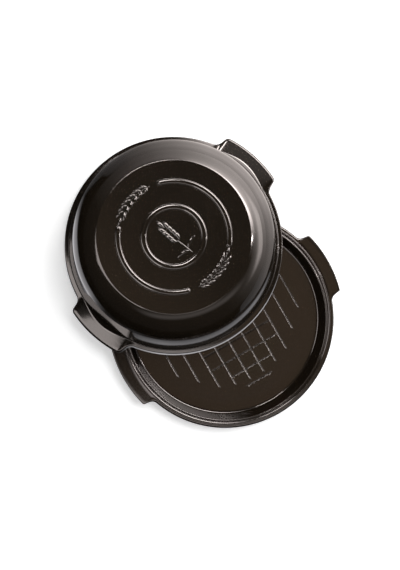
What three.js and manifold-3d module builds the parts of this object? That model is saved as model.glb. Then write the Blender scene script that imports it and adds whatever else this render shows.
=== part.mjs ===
// A bread cloche in glazed ceramic: a domed lid taken off its round base plate and leant on it.
// Each piece is cast in one with its two wing handles.
// Millimetres, +Z up. The origin is the centre of the base plate's flat foot, and +X runs
// along the base plate's handles.

import * as THREE from 'three';
import { mergeVertices } from 'three/addons/utils/BufferGeometryUtils.js';
import Module from 'manifold-3d';

const library = await Module();
library.setup();

// Driving dimensions of the base plate. An inset is measured inwards from the rim's radius.
const base = {
  radius: 142.5, // outside of the rim
  height: 28, // table to the top of the rim
  footInset: 40.5, // edge of the flat face that it stands on
  footChamfer: 2.5,
  floorThickness: 9,
  floorInset: 34.5, // edge of the flat part of the floor
  floorRise: 0.6, // the floor lifts this much before it meets the wall
  wallFootInset: 18, // where floor and wall meet
  wallFootFillet: 2.5,
  wallThickness: 7.5,
  mouthInset: 10.4, // inner edge of the rim
  mouthEdge: 1.1, // rounding of the rim's inner edge
  grooveInset: 8.3, // middle of the fine groove in the rim
  grooveWidth: 1.8,
  grooveDepth: 1.1,
  ridgeInset: 4.9, // outside of the raised part of the rim
  shoulderDrop: 1, // the rim's outer band lies this much below the raised part
  shoulderEdge: 2.6, // rounding of the rim's outer edge
};

// Driving dimensions of the grid of fine grooves in the floor
const grid = {
  inset: 16, // outermost groove to the edge of the flat floor
  lines: 10, // grooves each way
  width: 2.6,
  bottomWidth: 1.2,
  depth: 0.9,
  // half lengths of the grooves along Y and along X, from the middle pair outwards
  columnShares: [0.96, 0.92, 0.84, 0.63, 0.41],
  rowShares: [0.6, 0.58, 0.54, 0.36, 0.22],
};

// Driving dimensions of the lid, in its own frame with the rim's flat face at zero height
const lid = {
  radius: 142.5, // outside of the rim band, at its foot
  height: 127,
  rimEdge: 2, // rounding of the rim band's lower edge
  rimInnerInset: 8, // inner edge of the flat face that the lid stands on
  rimInnerEdge: 4, // rounding from that face into the inner wall
  bandHeight: 21.5, // height of the rim band
  bandDraft: 1, // the band narrows this much towards its top
  bandSlope: 0.6, // the band's top rises this much towards the wall
  bandEdge: 1.2, // rounding of the band's upper edge
  ledge: 6.8, // width of the band's top, out to the wall
  wallFillet: 1.2,
  wallThickness: 7.5,
  draftAngle: 7, // lean of the wall, in degrees
  shoulderRadius: 44, // round shoulder between the wall and the flat top
  topEdge: 3, // rounding of the fold round the flat top
  foldAngle: 18, // slope of the shoulder where it meets the fold, in degrees
};

// Driving dimensions of the raised lines on the lid's flat top
const relief = {
  height: 1.2,
  ringRadius: 37.7, // middle of the ring
  ringWidth: 7.4,
  arcInset: 26.6, // middle of the two arcs, inwards from the edge of the flat top
  arcWidth: 6.6,
  arcSpan: 112, // of each arc, in degrees
  edge: 1.1, // rounding of the arcs' edges
};

// Driving dimensions of the wing handles, two to a piece
const baseHandle = {
  reach: 13, // beyond the rim
  halfAngle: 15.5, // at the tip, in degrees
  flare: 25, // widening of the flanks towards the root, in degrees
  cornerRadius: 2.2,
  rootFillet: 9.4,
  thickness: 13.5, // at the root
  topFall: 0.3, // the top face falls this much towards the tip
  undersideRise: 3, // the underside lifts this much towards the tip
  edge: 1.2, // rounding of the edges
};
const lidHandle = {
  reach: 15.3,
  halfAngle: 15.3,
  flare: 25.7,
  cornerRadius: 7,
  rootFillet: 11.4,
  aboveBand: 0.5, // the top face stands this much above the band's top
  thickness: 17.5,
  topFall: 1.3,
  undersideRise: 3,
  edge: 2.4,
  valleyRadius: 8, // hollow between the top face and the lid's wall
};

// How the lid leans: its far edge on the table and its near side across the base plate's rim
const lean = {
  distance: 118.9, // between the two centres, seen from above
  direction: 95.8, // from the base plate's centre to the lid's, in degrees from +X
  turn: 18.1, // of the lid's handles from the base plate's, in degrees
  seatGap: 0.3,
};

// Fineness of the facets
const roundSteps = 72;
const arcStepDegrees = 9;
const cornerSteps = 3;
const tipSteps = 9;
const bandEndSteps = 6;
const arcBandSteps = 16;

// Small allowances: what a joined piece sinks in, and what a cut runs over
const sink = 0.4;
const overrun = 2;

const radians = THREE.MathUtils.degToRad;
const degrees = THREE.MathUtils.radToDeg;
const point = (x, y) => new THREE.Vector2(x, y);
const polar = (radius, angle) => point(radius * Math.cos(angle), radius * Math.sin(angle));

// Radii and heights that follow from the driving dimensions
const floorRadius = base.radius - base.floorInset;
const gridReach = floorRadius - grid.inset;
const ridgeRadius = base.radius - base.ridgeInset;
const shoulderHeight = base.height - base.shoulderDrop;
const rimInnerRadius = lid.radius - lid.rimInnerInset;
const draft = radians(lid.draftAngle);
const dome = domeOf();

// Centre of the round shoulder and radius of the flat top, from the wall and the height
function domeOf() {
  const foldSlope = radians(90 - lid.foldAngle);
  const inner = lid.shoulderRadius - lid.topEdge;
  const centreHeight = lid.height - lid.topEdge - inner * Math.sin(foldSlope);
  const wallTop = centreHeight + lid.shoulderRadius * Math.sin(draft);
  const centreRadius = wallRadiusAt(wallTop) - lid.shoulderRadius * Math.cos(draft);
  const topRadius = centreRadius + inner * Math.cos(foldSlope);
  return { centreRadius, centreHeight, topRadius };
}

// Radius of the wall's outside at a height
function wallRadiusAt(height) {
  return lid.radius - lid.ledge - (height - lid.bandHeight) * Math.tan(draft);
}

// Plane curves

function arc(centreX, centreY, radius, fromDegrees, toDegrees, steps) {
  const count = steps ?? Math.max(2, Math.ceil(Math.abs(toDegrees - fromDegrees) / arcStepDegrees));
  const points = [];
  for (let i = 0; i <= count; i += 1) {
    const angle = radians(THREE.MathUtils.lerp(fromDegrees, toDegrees, i / count));
    points.push(polar(radius, angle).add(point(centreX, centreY)));
  }
  return points;
}

// A smooth lift from the first point to the second, level at the first one
function lift(from, to, steps) {
  const points = [];
  for (let i = 1; i < steps; i += 1) {
    const share = i / steps;
    points.push(point(
      THREE.MathUtils.lerp(from.x, to.x, share),
      THREE.MathUtils.lerp(from.y, to.y, share * share),
    ));
  }
  return points;
}

// A round turn between two points that bulges outwards
function bend(from, to, bulge) {
  const control = point(to.x, from.y + bulge);
  return new THREE.QuadraticBezierCurve(from, control, to).getPoints(cornerSteps + 1).slice(1, -1);
}

// Solids

function solidOf(geometry) {
  const bare = geometry.clone();
  bare.deleteAttribute('normal');
  bare.deleteAttribute('uv');
  const merged = mergeVertices(bare);
  const corners = merged.index.array;
  const kept = [];
  for (let i = 0; i < corners.length; i += 3) {
    const [a, b, c] = corners.slice(i, i + 3);
    if (a !== b && b !== c && c !== a) kept.push(a, b, c);
  }
  return new library.Manifold(new library.Mesh({
    numProp: 3,
    vertProperties: new Float32Array(merged.attributes.position.array),
    triVerts: new Uint32Array(kept),
  }));
}

function geometryOf(solid) {
  const mesh = solid.getMesh();
  const geometry = new THREE.BufferGeometry();
  geometry.setAttribute('position', new THREE.BufferAttribute(new Float32Array(mesh.vertProperties), 3));
  geometry.setIndex(new THREE.BufferAttribute(new Uint32Array(mesh.triVerts), 1));
  geometry.computeVertexNormals();
  return geometry;
}

// A profile of radius and height, turned round the upright axis
function turned(profile) {
  const geometry = new THREE.LatheGeometry(profile, roundSteps);
  geometry.rotateX(radians(90));
  return solidOf(geometry);
}

// An outline pulled up from one height to another
function prism(points, low, high, edge = 0) {
  const shape = new THREE.Shape(points);
  const geometry = new THREE.ExtrudeGeometry(shape, {
    depth: high - low - 2 * edge,
    bevelEnabled: edge > 0,
    bevelThickness: edge,
    bevelSize: edge,
    bevelOffset: -edge,
    bevelSegments: cornerSteps,
  });
  geometry.translate(0, 0, low + edge);
  return solidOf(geometry);
}

const withTwin = (solid) => solid.add(solid.rotate([0, 0, 180]));

// Wing handles

// Where a line from start along step comes within the given distance of the axis
function reachAlong(start, step, distance) {
  const half = start.dot(step);
  const run = -half - Math.sqrt(half * half - start.lengthSq() + distance * distance);
  return start.clone().addScaledVector(step, run);
}

// Outline of a handle on +X: round corners at the tip, straight flanks that flare towards the
// root, and hollow fillets that run into the round rim
function handleOutline(handle, rimRadius, rootRadius) {
  const tipRadius = rimRadius + handle.reach;
  const tipAngle = radians(handle.halfAngle);
  const inward = polar(1, tipAngle + Math.PI - radians(handle.flare));
  const outward = point(inward.y, -inward.x);
  const tip = polar(tipRadius, tipAngle);

  const cornerStart = tip.clone().addScaledVector(outward, -handle.cornerRadius);
  const corner = reachAlong(cornerStart, inward, tipRadius - handle.cornerRadius);
  const filletStart = tip.clone().addScaledVector(outward, handle.rootFillet);
  const fillet = reachAlong(filletStart, inward, rimRadius - sink + handle.rootFillet);

  const cornerAngle = degrees(corner.angle());
  const outwardAngle = degrees(outward.angle());
  const filletAngle = degrees(fillet.angle());
  const side = [
    ...arc(corner.x, corner.y, handle.cornerRadius, cornerAngle, outwardAngle, cornerSteps),
    ...arc(fillet.x, fillet.y, handle.rootFillet, outwardAngle + 180, filletAngle + 180, cornerSteps * 2),
  ];
  const otherSide = side.map((p) => point(p.x, -p.y)).reverse();
  const tipArc = arc(0, 0, tipRadius, -cornerAngle, cornerAngle, tipSteps).slice(1, -1);
  const rootArc = arc(0, 0, rootRadius, filletAngle, -filletAngle, tipSteps);
  return [...tipArc, ...side, ...rootArc, ...otherSide];
}

// The ring that both handles are cut from, with a top face that falls a little towards the tip
// and the hollow underside that fingers go under
function handleRing(handle, rimRadius, rootRadius, top) {
  const far = rimRadius + handle.reach + overrun;
  const near = point(rootRadius, top - handle.thickness);
  const tip = point(far, top - handle.thickness + handle.undersideRise);
  return turned([
    near,
    ...lift(near, tip, cornerSteps),
    tip,
    point(far, top - handle.topFall),
    point(rimRadius, top),
    point(rootRadius, top + overrun),
    near,
  ]);
}

function pairOfHandles(handle, rimRadius, rootRadius, top) {
  const outline = handleOutline(handle, rimRadius, rootRadius);
  const wing = prism(outline, top - handle.thickness - overrun, top, handle.edge);
  return withTwin(wing.intersect(handleRing(handle, rimRadius, rootRadius, top)));
}

// Base plate

function basePlateProfile() {
  const footRadius = base.radius - base.footInset;
  const wallFoot = point(base.radius - base.wallFootInset, base.floorThickness + base.floorRise);
  const halfWall = base.wallThickness / 2;
  const footEdge = point(footRadius + base.footChamfer, base.footChamfer);
  const underside = point(wallFoot.x + halfWall, wallFoot.y - halfWall);
  const bandFoot = point(base.radius, shoulderHeight - base.wallThickness);
  const edgeRadius = base.radius - base.shoulderEdge;
  const halfDrop = base.shoulderDrop / 2;
  const grooveRadius = base.radius - base.grooveInset;
  const grooveHalf = base.grooveWidth / 2;
  const mouthRadius = base.radius - base.mouthInset;
  const floorEdge = point(floorRadius, base.floorThickness);
  return [
    point(0, 0),
    point(footRadius, 0),
    footEdge,
    ...lift(footEdge, underside, cornerSteps),
    underside,
    ...bend(underside, bandFoot, halfWall),
    bandFoot,
    ...arc(edgeRadius, shoulderHeight - base.shoulderEdge, base.shoulderEdge, 0, 90, cornerSteps),
    point(ridgeRadius + halfDrop, shoulderHeight),
    point(ridgeRadius, shoulderHeight + halfDrop),
    point(ridgeRadius - halfDrop, base.height),
    point(grooveRadius + grooveHalf, base.height),
    point(grooveRadius, base.height - base.grooveDepth),
    point(grooveRadius - grooveHalf, base.height),
    ...arc(mouthRadius, base.height - base.mouthEdge, base.mouthEdge, 90, 180, 2),
    point(wallFoot.x + base.wallFootFillet / 2, wallFoot.y + base.wallFootFillet),
    wallFoot,
    ...lift(floorEdge, wallFoot, cornerSteps).reverse(),
    floorEdge,
    point(0, base.floorThickness),
  ];
}

// One groove along X with sloping sides that run on above the floor's surface
function groove(halfLength) {
  const bottom = grid.bottomWidth / 2;
  const slope = (grid.width - grid.bottomWidth) / 2 / grid.depth;
  const top = grid.width / 2 + slope * overrun;
  const section = new THREE.Shape([
    point(-bottom, -grid.depth),
    point(bottom, -grid.depth),
    point(top, overrun),
    point(-top, overrun),
  ]);
  const geometry = new THREE.ExtrudeGeometry(section, { depth: 2 * halfLength, bevelEnabled: false });
  geometry.rotateX(radians(90));
  geometry.rotateZ(radians(90));
  geometry.translate(-halfLength, 0, base.floorThickness);
  return solidOf(geometry);
}

function floorGrooves() {
  const pitch = (2 * gridReach) / (grid.lines - 1);
  let grooves = null;
  for (let i = 0; i < grid.lines; i += 1) {
    const place = i * pitch - gridReach;
    const pair = Math.floor(Math.abs(place) / pitch);
    const row = groove(grid.rowShares[pair] * gridReach).translate([0, place, 0]);
    const column = groove(grid.columnShares[pair] * gridReach).rotate([0, 0, 90]).translate([place, 0, 0]);
    const cross = row.add(column);
    grooves = grooves ? grooves.add(cross) : cross;
  }
  return grooves;
}

function basePlateSolid() {
  const rootRadius = ridgeRadius - base.shoulderDrop;
  return turned(basePlateProfile())
    .add(pairOfHandles(baseHandle, base.radius, rootRadius, shoulderHeight))
    .subtract(floorGrooves());
}

// Lid

function domeOutside() {
  const foldSlope = 90 - lid.foldAngle;
  return [
    ...arc(dome.topRadius, lid.height - lid.topEdge, lid.topEdge, 90, foldSlope, 2),
    ...arc(dome.centreRadius, dome.centreHeight, lid.shoulderRadius, foldSlope, lid.draftAngle).slice(1),
  ];
}

function domeInside() {
  const radius = lid.shoulderRadius - lid.wallThickness;
  const ceiling = lid.height - lid.wallThickness;
  const edgeAngle = degrees(Math.asin((ceiling - dome.centreHeight) / radius));
  const foot = wallRadiusAt(lid.bandHeight) - lid.wallThickness / Math.cos(draft);
  return [
    ...arc(dome.centreRadius, dome.centreHeight, radius, edgeAngle, lid.draftAngle),
    point(foot, lid.bandHeight),
  ];
}

// A hollow fillet that stands on a level face and runs up into the wall
function wallFillet(radius, level, steps) {
  const height = level + radius;
  const centre = wallRadiusAt(height) + radius / Math.cos(draft);
  return arc(centre, height, radius, 270, 180 + lid.draftAngle, steps);
}

function lidProfile() {
  const bandTop = lid.bandHeight - lid.bandSlope;
  const edgeRadius = lid.radius - lid.rimEdge;
  const bandEdgeRadius = lid.radius - lid.bandDraft - lid.bandEdge;
  return [
    point(rimInnerRadius, 0),
    ...arc(edgeRadius, lid.rimEdge, lid.rimEdge, -90, 0, 2),
    ...arc(bandEdgeRadius, bandTop - lid.bandEdge, lid.bandEdge, 0, 90, cornerSteps),
    ...wallFillet(lid.wallFillet, lid.bandHeight, cornerSteps),
    ...domeOutside().reverse(),
    point(0, lid.height),
    point(0, lid.height - lid.wallThickness),
    ...domeInside(),
    ...arc(rimInnerRadius, lid.rimInnerEdge, lid.rimInnerEdge, 180, 270, cornerSteps),
  ];
}

// The wide hollow fillets between the handles' top faces and the wall
function handleValleys(level) {
  const radius = lidHandle.valleyRadius;
  const fillet = wallFillet(radius, level, cornerSteps * 2);
  const far = fillet[0].x;
  const wallTop = fillet[fillet.length - 1];
  const inner = wallTop.x - lid.wallThickness / 2;
  const ring = turned([
    point(inner, level - radius),
    point(far, level - radius),
    ...fillet,
    point(inner, wallTop.y),
    point(inner, level - radius),
  ]);
  const wedge = [
    point(0, 0),
    ...arc(0, 0, lid.radius + lidHandle.reach, -lidHandle.halfAngle, lidHandle.halfAngle, tipSteps),
  ];
  const sector = prism(wedge, level - radius - overrun, wallTop.y + overrun);
  return withTwin(ring.intersect(sector));
}

function reliefRing() {
  const half = relief.ringWidth / 2;
  const foot = lid.height - sink;
  const steps = cornerSteps * 2;
  const crest = [];
  for (let i = 0; i <= steps; i += 1) {
    const angle = (Math.PI * i) / steps;
    crest.push(point(relief.ringRadius + half * Math.cos(angle), lid.height + relief.height * Math.sin(angle)));
  }
  const start = point(relief.ringRadius - half, foot);
  return turned([start, point(relief.ringRadius + half, foot), ...crest, start]);
}

// A curved band with round ends
function bandOutline(radius, width, spanDegrees) {
  const half = width / 2;
  const end = spanDegrees / 2;
  const far = polar(radius, radians(end));
  return [
    ...arc(0, 0, radius + half, -end, end, arcBandSteps),
    ...arc(far.x, far.y, half, end, end + 180, bandEndSteps).slice(1, -1),
    ...arc(0, 0, radius - half, end, -end, arcBandSteps),
    ...arc(far.x, -far.y, half, 180 - end, 360 - end, bandEndSteps).slice(1, -1),
  ];
}

function reliefArcs() {
  const outline = bandOutline(dome.topRadius - relief.arcInset, relief.arcWidth, relief.arcSpan);
  return withTwin(prism(outline, lid.height - relief.edge - sink, lid.height + relief.height, relief.edge));
}

function lidSolid() {
  const handleTop = lid.bandHeight + lidHandle.aboveBand;
  return turned(lidProfile())
    .add(pairOfHandles(lidHandle, lid.radius, rimInnerRadius, handleTop))
    .add(handleValleys(handleTop))
    .add(reliefRing())
    .add(reliefArcs());
}

// The leaning lid's place

// The near side crosses the rim where the lid's inner edge passes over the rim's ridge
function leanOf() {
  const { distance } = lean;
  const near = (distance ** 2 + rimInnerRadius ** 2 - ridgeRadius ** 2) / (2 * distance);
  const far = lid.radius - lid.rimEdge;
  const rise = base.height + lean.seatGap;
  const settleSteps = 20;
  let tilt = 0;
  for (let i = 0; i < settleSteps; i += 1) {
    const edgeLift = lid.rimEdge * (1 - Math.cos(tilt));
    tilt = Math.atan((rise - edgeLift) / (far * Math.cos(tilt) + near));
  }
  const height = far * Math.sin(tilt) + lid.rimEdge * (1 - Math.cos(tilt));
  return { tilt, height };
}

function leaningGroup(mesh) {
  const { tilt, height } = leanOf();
  const direction = radians(lean.direction);
  const towards = new THREE.Vector3(Math.cos(direction), Math.sin(direction), 0);
  const across = new THREE.Vector3(0, 0, 1).cross(towards);
  const group = new THREE.Group();
  group.position.copy(towards).multiplyScalar(lean.distance);
  group.position.z = height;
  group.quaternion.setFromAxisAngle(across, tilt);
  mesh.rotation.z = radians(lean.turn);
  group.add(mesh);
  return group;
}

// Meshes

const satinGlaze = new THREE.MeshStandardMaterial({ color: 0x2c2420, roughness: 0.42, metalness: 0 });
const glossGlaze = new THREE.MeshStandardMaterial({ color: 0x1e1915, roughness: 0.12, metalness: 0 });

const basePlate = new THREE.Mesh(geometryOf(basePlateSolid()), satinGlaze);
basePlate.name = 'base_plate';

const domedLid = new THREE.Mesh(geometryOf(lidSolid()), glossGlaze);
domedLid.name = 'cloche_lid';

const cloche = new THREE.Group();
cloche.add(basePlate);
cloche.add(leaningGroup(domedLid));

export default cloche;
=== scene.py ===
import math

import bpy
import numpy as np
from mathutils import Matrix, Vector
from mathutils.geometry import delaunay_2d_cdt


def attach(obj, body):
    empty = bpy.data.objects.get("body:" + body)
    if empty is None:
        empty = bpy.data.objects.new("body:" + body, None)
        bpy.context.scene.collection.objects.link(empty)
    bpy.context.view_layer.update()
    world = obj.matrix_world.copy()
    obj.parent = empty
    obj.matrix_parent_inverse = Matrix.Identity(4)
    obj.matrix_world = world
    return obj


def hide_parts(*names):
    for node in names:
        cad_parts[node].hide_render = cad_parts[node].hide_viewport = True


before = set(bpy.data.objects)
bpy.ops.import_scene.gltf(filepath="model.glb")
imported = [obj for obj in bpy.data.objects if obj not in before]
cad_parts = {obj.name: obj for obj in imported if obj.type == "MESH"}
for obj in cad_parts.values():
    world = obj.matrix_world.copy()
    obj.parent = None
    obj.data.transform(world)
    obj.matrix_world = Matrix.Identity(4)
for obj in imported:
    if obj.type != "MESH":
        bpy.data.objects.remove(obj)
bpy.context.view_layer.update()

# A bread cloche in dark glazed ceramic: the domed lid leans on its round base plate.
# Sizes are in millimetres, and MM turns them into Blender's metres. The origin is the centre of
# the base plate's foot, +X runs along its handles, and the lid lies on the +Y side.

MM = 0.001

# Outline round a handle and its rim, in steps
TIP_STEPS = 44
CORNER_STEPS = 12
FLANK_STEPS = 6
ROOT_STEPS = 14
RIM_STEPS = 190

# Base plate
BASE_RADIUS = 142.5
BASE_HEIGHT = 28.0
FOOT_RADIUS = 102.0
FOOT_CHAMFER = 2.5
FLOOR_THICKNESS = 9.0
FLOOR_RADIUS = 108.0
FLOOR_RISE = 0.6
FLOOR_RISE_REACH = 0.9
WALL_FOOT_RADIUS = 124.5
WALL_FOOT_FILLET = 1.6
MOUTH_RADIUS = 132.1
MOUTH_EDGE = 1.1
GROOVE_RADIUS = 134.2
GROOVE_HALF_WIDTH = 0.9
GROOVE_DEPTH = 1.1
GROOVE_ROUNDNESS = 0.8
RIDGE_RADIUS = 137.6
SHOULDER_DROP = 1.0
SHOULDER_EDGE = 2.6
SIDE_FOOT = 21.0
UNDERCUT = 1.2
UNDERCUT_HEIGHT = 3.5
UNDERSIDE_RADIUS = 137.5
UNDERSIDE_POINTS = [(116.0, 4.4), (128.3, 8.3), (134.0, 11.0)]
BASE_HANDLE = {
    "tip": 155.4,
    "half_angle": 15.5,
    "flare": 25.0,
    "corner": 2.2,
    "root": 9.4,
    "underside": 13.5,
    "underside_rise": 2.0,
    "top_fall": 0.3,
    "top_edge": 1.2,
    "low_edge": 1.8,
}

# Rows of points over the base plate's stretches
FLOOR_STEPS = 8
WALL_FOOT_STEPS = 8
BASE_WALL_STEPS = 6
MOUTH_STEPS = 6
GROOVE_STEPS = 10
RIDGE_STEPS = 5
BASE_TOP_STEPS = 4
BASE_SIDE_STEPS = 4
BASE_UNDER_STEPS = 5
FOOT_STEPS = 5

# Grid of fine grooves in the base plate's floor, and where mesh lines follow each of them
GRID_REACH = 92.0
GRID_LINES = 10
GRID_HALF_WIDTH = 1.0
GRID_BOTTOM_HALF_WIDTH = 0.1
GRID_DEPTH = 0.6
GRID_FADE = 9.0
GRID_COLUMN_SHARES = [0.96, 0.92, 0.84, 0.63, 0.41]
GRID_ROW_SHARES = [0.6, 0.58, 0.54, 0.36, 0.22]
GRID_OFFSETS = (0, 0.33, 0.5, 0.66, 0.83, 1.0, 1.25, 3.6, 6.2, 8.6, 10.2)
GRID_LEAST_GAP = 0.1
GRID_EDGE_GAP = 0.8
LINE_DIGITS = 3

# Triangulation of the floor: only inside its outline, with points closer than this welded
INSIDE_ONLY = 1
WELD_DISTANCE = 1e-6

# Lid, in its own frame with the rim's flat face at zero height
LID_RADIUS = 142.5
LID_HEIGHT = 127.0
RIM_EDGE = 2.0
RIM_INNER_RADIUS = 134.5
RIM_INNER_EDGE = 4.0
BAND_HEIGHT = 21.5
BAND_SLOPE = 0.6
BAND_DRAFT = 1.0
BAND_TOP_EDGE = 1.2
BAND_LOW_EDGE = 0.2
BAND_FOOT_DROP = 0.6
LEDGE = 6.8
WALL_FILLET = 1.2
HANDLE_FILLET = 8.0
FILLET_HALF_ANGLE = 17.0
FILLET_TAPER = 1.5
DRAFT = 7.0
SHOULDER_RADIUS = 45.0
TOP_EDGE = 3.0
TOP_SLOPE = 7.0
FOLD_SLOPE = 18.0
LID_WALL = 7.5
LID_HANDLE = {
    "tip": 157.7,
    "half_angle": 15.3,
    "flare": 25.7,
    "corner": 7.0,
    "root": 11.4,
    "underside": 4.5,
    "underside_rise": 2.5,
    "top": 22.0,
    "top_fall": 1.3,
    "top_edge": 3.0,
    "low_edge": 2.5,
    "draft": 0.3,
}

# Rows of points over the lid's stretches
FOLD_STEPS = 5
DOME_STEPS = 28
DOME_INSIDE_STEPS = 14
LID_WALL_STEPS = 8
FILLET_STEPS = 9
LEDGE_STEPS = 6
LID_SIDE_STEPS = 5
LID_UNDER_STEPS = 6
LID_RIM_STEPS = 6

# Rows over the rounded edges that both pieces have
BEVEL_STEPS = 8
LOW_EDGE_STEPS = 6

# Raised lines on the lid's flat top, and the spacing of its rows of points
RELIEF_HEIGHT = 1.2
RING_RADIUS = 37.7
RING_HALF_WIDTH = 3.7
ARC_RADIUS = 69.5
ARC_HALF_WIDTH = 3.3
ARC_HALF_ANGLE = 56.0
BEAD_ROUNDNESS = 2.5
RELIEF_STEP = 0.3
RELIEF_MARGIN = 0.3
TOP_INNER_STEP = 1.5
TOP_MIDDLE_STEP = 4.0
TOP_OUTER_STEP = 5.0
FOLD_MARGIN = 0.5

# Ridges of the ornament. A heading is in degrees from +X, and a bow is what it turns by its end.
RIDGE_SIDES = 16
RIDGE_END = 0.02
RIDGE_LEAST_SHARE = 0.5
RIDGE_FULL_WIDTH = 3.0
LEAF_STEPS = 15
LEAF_PLUMPNESS = 0.7
STALK_PLUMPNESS = 0.25

# Wheat ear in the ring
EAR_STALK_START = (1.2, -31.0)
EAR_STALK_HEADING = 92.0
EAR_STALK_LENGTH = 26.0
EAR_STALK_BOW = 2.0
EAR_STALK_HALF_WIDTH = 1.1
EAR_PAIRS = 4
EAR_TIP_START = 15.5
EAR_TIP_LENGTH = 14.0
KERNEL_START = -8.0
KERNEL_PITCH = 6.2
KERNEL_ASIDE = 1.2
KERNEL_SPREAD = 44.0
KERNEL_LENGTH = 13.0
KERNEL_BOW = 30.0
KERNEL_HALF_WIDTH = 2.7
KERNEL_PLUMPNESS = 0.8
BLADE_PLACES = ((-1, -27.0), (1, -24.0))
BLADE_ASIDE = 0.9
BLADE_SPREAD = 40.0
BLADE_LENGTH = 19.0
BLADE_BOW = 34.0
BLADE_HALF_WIDTH = 2.4

# Leafy twigs between the arcs
SPRIG_SPAN = 23.0
SPRIG_STEPS = 24
SPRIG_HALF_WIDTH = 1.0
SPRIG_PAIRS = 6
SPRIG_START = 3.0
SPRIG_END = 1.0
SPRIG_LEAF_SPREAD = 46.0
SPRIG_LEAF_BOW = 24.0
SPRIG_LEAF_LENGTH = 14.0
SPRIG_LEAF_TAPER = 0.8
SPRIG_LEAF_HALF_WIDTH = 2.3
SPRIG_TIP_LENGTH = 11.0
SPRIG_TIP_HALF_WIDTH = 2.2

# The lid's lean: its far edge on the table, its near side across the base plate's rim
LEAN_DISTANCE = 118.9
LEAN_DIRECTION = 95.8
LEAN_TURN = 18.1
SEAT_GAP = 0.3
SETTLE_STEPS = 20

# Glazes: a noise has its scale and detail, and a ripple's height is in metres
WHITE = (1, 1, 1, 1)
BLACK = (0, 0, 0, 1)
GLAZE_IOR = 1.6
CLOUD_NOISE = (14, 5)
CLOUD_STOPS = (0.3, 0.75)
CLOUD_GAIN = 1.25
FLECK_NOISE = (900, 2)
FLECK_STOPS = (0.56, 0.72)
RIPPLE_NOISE = (260, 3)
GLOSS_GLAZE = {
    "colour": (0.007, 0.0051, 0.0034, 1),
    "fleck": (0.017, 0.0118, 0.0073, 1),
    "roughness": 0.08,
    "spread": 0.02,
    "ripple": 0.00001,
}
SATIN_GLAZE = {
    "colour": (0.0075, 0.0052, 0.0033, 1),
    "fleck": (0.015, 0.0102, 0.0065, 1),
    "roughness": 0.085,
    "spread": 0.015,
    "ripple": 0.000015,
}

# Camera, from the photograph's view
CAMERA_DISTANCE = 2400.0
CAMERA_REACH = 20000.0
CAMERA_LEAN_X = -0.063
CAMERA_LEAN_Y = 0.088
CAMERA_TARGET = (-5.96, 55.15, 0.0)
CAMERA_UP_ANGLE = 60.26
CAMERA_FOCAL_PX = 1813.6
PHOTO_HEIGHT_PX = 570
SENSOR_MM = 36.0

# Overhead lamp. Here and below an azimuth is the photograph's, in degrees: 0 right and 90 up.
LAMP_AZIMUTH = 45.0
LAMP_ELEVATION = 62.0
LAMP_DISTANCE = 1600.0
LAMP_AIM_HEIGHT = 60.0
LAMP_SIZE = 1300.0
LAMP_POWER = 30.0

# World: even light for all rays but glossy ones, which see a dark studio with its own lights.
# A table pairs an azimuth, or an angle from straight above, with a share of the strength.
FILL = (0.38, 0.38, 0.38, 1)
STUDIO_DARK = 0.03
WARM = (1, 0.69, 0.46, 1)
SIDE_TINT = (1, 0.9, 0.86, 1)

# Bright side of the studio
SIDE_STRENGTH = 21.5
SIDE_AZIMUTHS = [
    (-180, 0), (-50, 0), (-40, 0.01), (-25, 0.06), (-15, 0.13), (0, 0.27), (10, 0.42), (20, 0.65),
    (35, 0.9), (50, 1), (65, 0.9), (80, 0.62), (90, 0.42), (105, 0.2), (120, 0.08), (135, 0.025),
    (150, 0), (180, 0),
]
SIDE_ZENITHS = [(0, 0), (38, 0), (46, 0.1), (56, 0.24), (62, 0.27), (75, 0.225), (90, 0.225)]

# Bright crescent, which the dome's far shoulder mirrors
CRESCENT_STRENGTH = 28.0
CRESCENT_AZIMUTHS = [
    (-180, 0), (0, 0), (10, 0.02), (16, 0.06), (22, 0.2), (30, 0.5), (38, 0.85), (46, 0.9),
    (58, 1), (70, 1), (82, 0.6), (90, 0.15), (96, 0), (180, 0),
]
CRESCENT_ZENITHS = [(0, 0), (31, 0), (35, 1), (45, 1), (48, 0.3), (54, 0.1), (62, 0), (90, 0)]

# Boxes of light overhead: azimuth, near and far edge along it, left and right edge across it, all
# as tangents from straight above, then the edges' softness and the strength. The least height
# keeps those tangents finite at the horizon.
SOFTBOXES = [
    (245, 0.06, 0.55, -1.0, -0.15, 0.008, 4.4),
    (270, 0.16, 0.36, -0.45, 0.27, 0.025, 3.4),
    (285, 0.55, 0.8, -0.7, 0.7, 0.25, 1.0),
    (78, 0.34, 0.52, -0.15, 0.15, 0.05, 0.5),
    (111, 0.44, 0.58, -0.11, 0.11, 0.02, 42.0),
    (18, 0.65, 0.84, -0.04, 0.0, 0.02, 65.0),
    (8, 1.7, 4.0, -0.8, 1.2, 0.4, 3.0),
]
WARM_BOXES = [
    (90, -0.125, 0.02, -0.27, -0.03, 0.02, 0.36),
    (225, -0.075, 0.02, -0.4, -0.06, 0.03, 0.22),
]
LEAST_HEIGHT = 0.01

# Bounce card beside the lid's near wall, with radii from the lid's centre
CARD_HEIGHT = 29.5
CARD_RADII = (137.0, 176.0)
CARD_AZIMUTHS = (234.0, 345.0)
CARD_STEPS = 40
CARD_STRENGTH = 1.4
CARD_FALL = 3.0
CARD_LEVELS = [(-180, 0), (-126, 0), (-98, 1), (-35, 1), (-15, 0.2), (0, 0), (180, 0)]

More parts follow.
